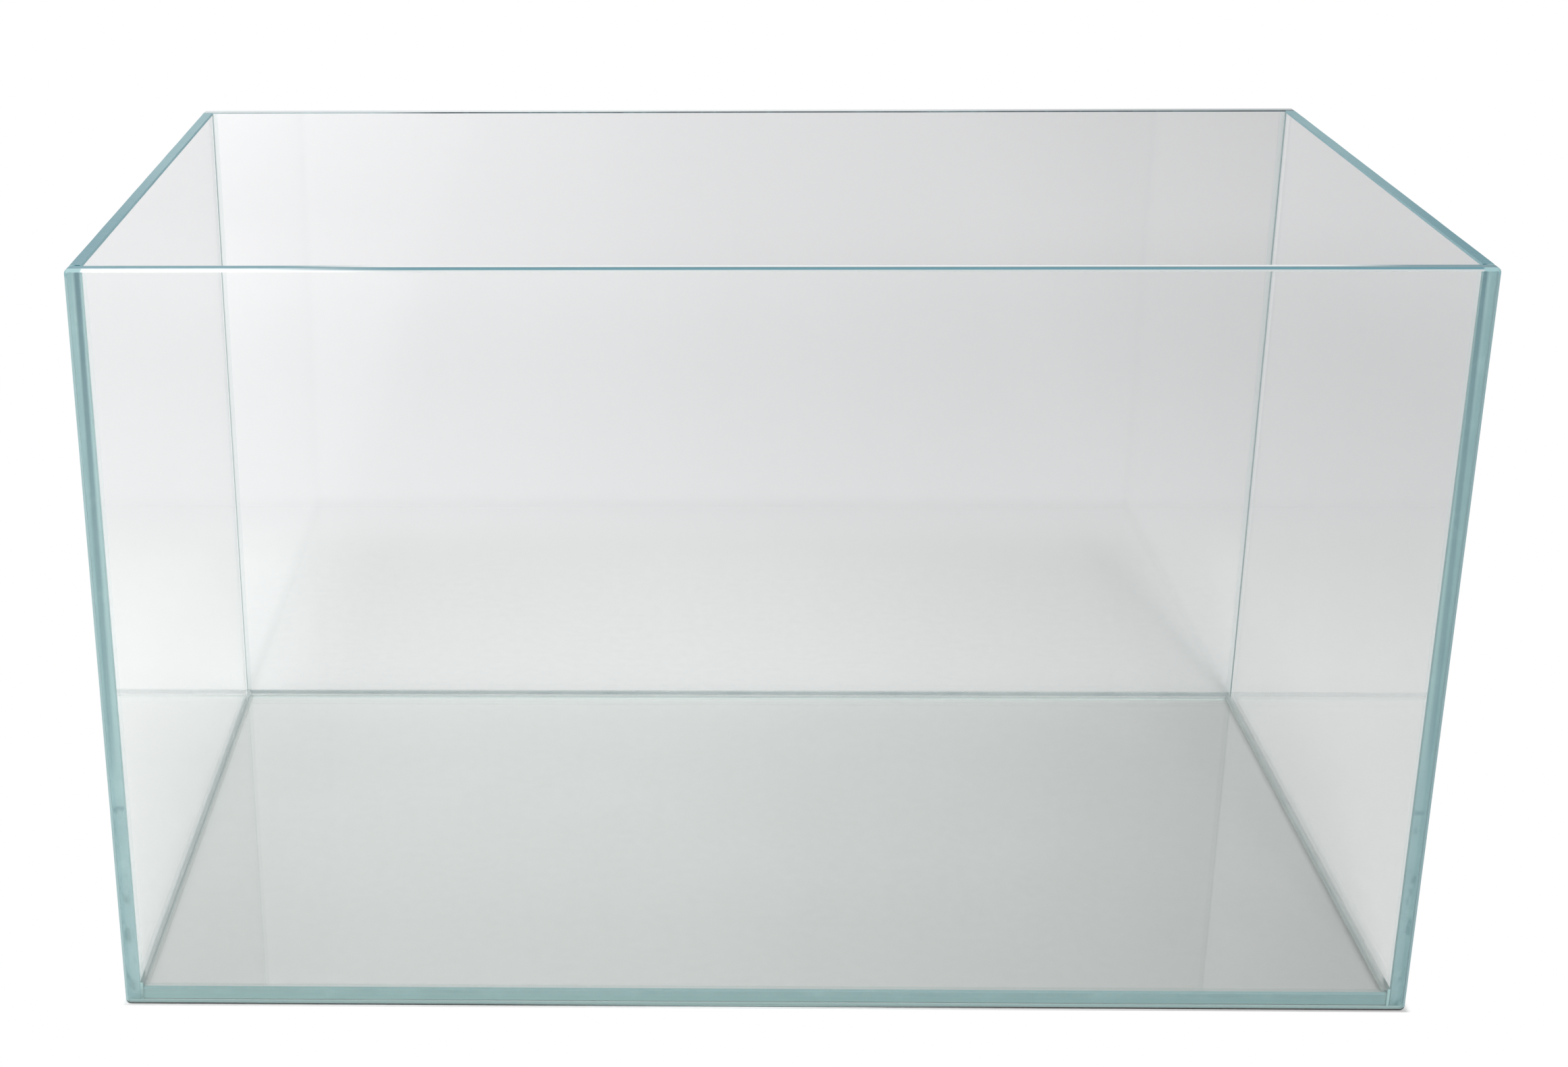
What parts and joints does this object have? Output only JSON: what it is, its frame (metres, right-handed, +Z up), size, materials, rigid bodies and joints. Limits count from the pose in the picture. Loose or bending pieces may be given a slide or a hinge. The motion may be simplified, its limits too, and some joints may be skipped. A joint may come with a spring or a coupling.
{
  "type": "nano aquarium",
  "caption": "Open rimless rectangular glass tank: clear panes with sea-green edges, bonded by clear silicone, for a small aquarium.",
  "frame": {"origin": "centre of the footprint, on the surface the tank stands on", "axes": "+X along the tank's width, +Y from the front pane to the back pane, +Z up out of the open top"},
  "size_m": [0.45, 0.27, 0.266],
  "materials": {
    "clear_glass": "polished clear float glass with sea-green edges",
    "clear_silicone": "clear cured silicone, smooth"
  },
  "bodies": {
    "root": {"front_pane": "clear_glass", "back_pane": "clear_glass", "left_pane": "clear_glass", "right_pane": "clear_glass", "base_pane": "clear_glass", "front_left_seam": "clear_silicone", "front_right_seam": "clear_silicone", "back_left_seam": "clear_silicone", "back_right_seam": "clear_silicone", "base_front_seam": "clear_silicone", "base_back_seam": "clear_silicone", "base_left_seam": "clear_silicone", "base_right_seam": "clear_silicone"}
  },
  "joints": []
}
